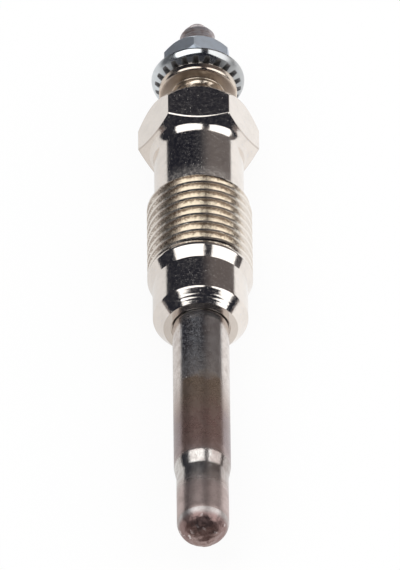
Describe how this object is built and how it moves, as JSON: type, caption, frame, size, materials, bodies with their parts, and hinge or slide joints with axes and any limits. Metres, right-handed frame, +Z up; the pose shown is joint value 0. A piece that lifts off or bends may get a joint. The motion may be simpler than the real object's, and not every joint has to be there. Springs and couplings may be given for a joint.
{
  "type": "diesel glow plug",
  "caption": "Diesel glow plug: nickel-plated threaded body with a hexagon and conical seat, a closed glow tube, and a threaded terminal stud with round nut, toothed washer and hex nut.",
  "frame": {"origin": "on the ground under the middle of the plug's length, with the plug lying on a flat of its hexagon and on its thread", "axes": "+Y along the plug's axis towards the terminal, so the glow tube points along -Y; +Z up; +X to the right seen from the tip"},
  "size_m": [0.0136, 0.0792, 0.0118],
  "materials": {
    "nickel_plate": "bright nickel plate over turned steel, satin on the thread",
    "heat_tinted_alloy": "satin nickel alloy, drawn, with brown and mauve heat tint towards the tip",
    "coil_wire": "drawn resistance wire",
    "control_wire": "drawn control wire",
    "magnesia": "pressed powder",
    "seal_rubber": "smooth moulded rubber",
    "stud_steel": "dark plated steel with a rolled thread",
    "bush_plastic": "moulded insulating plastic",
    "warm_nickel": "bright nickel plate",
    "zinc_plate": "bright blue-white zinc plate"
  },
  "bodies": {
    "root": {"plug_body": "nickel_plate", "glow_tube": "heat_tinted_alloy", "heating_coil": "coil_wire", "control_coil": "control_wire", "magnesia_filling": "magnesia", "tube_seal": "seal_rubber", "terminal_stud": "stud_steel", "seal_ring": "seal_rubber", "insulating_bush": "bush_plastic", "round_nut": "warm_nickel", "lock_washer": "zinc_plate", "terminal_nut": "zinc_plate"}
  },
  "joints": []
}
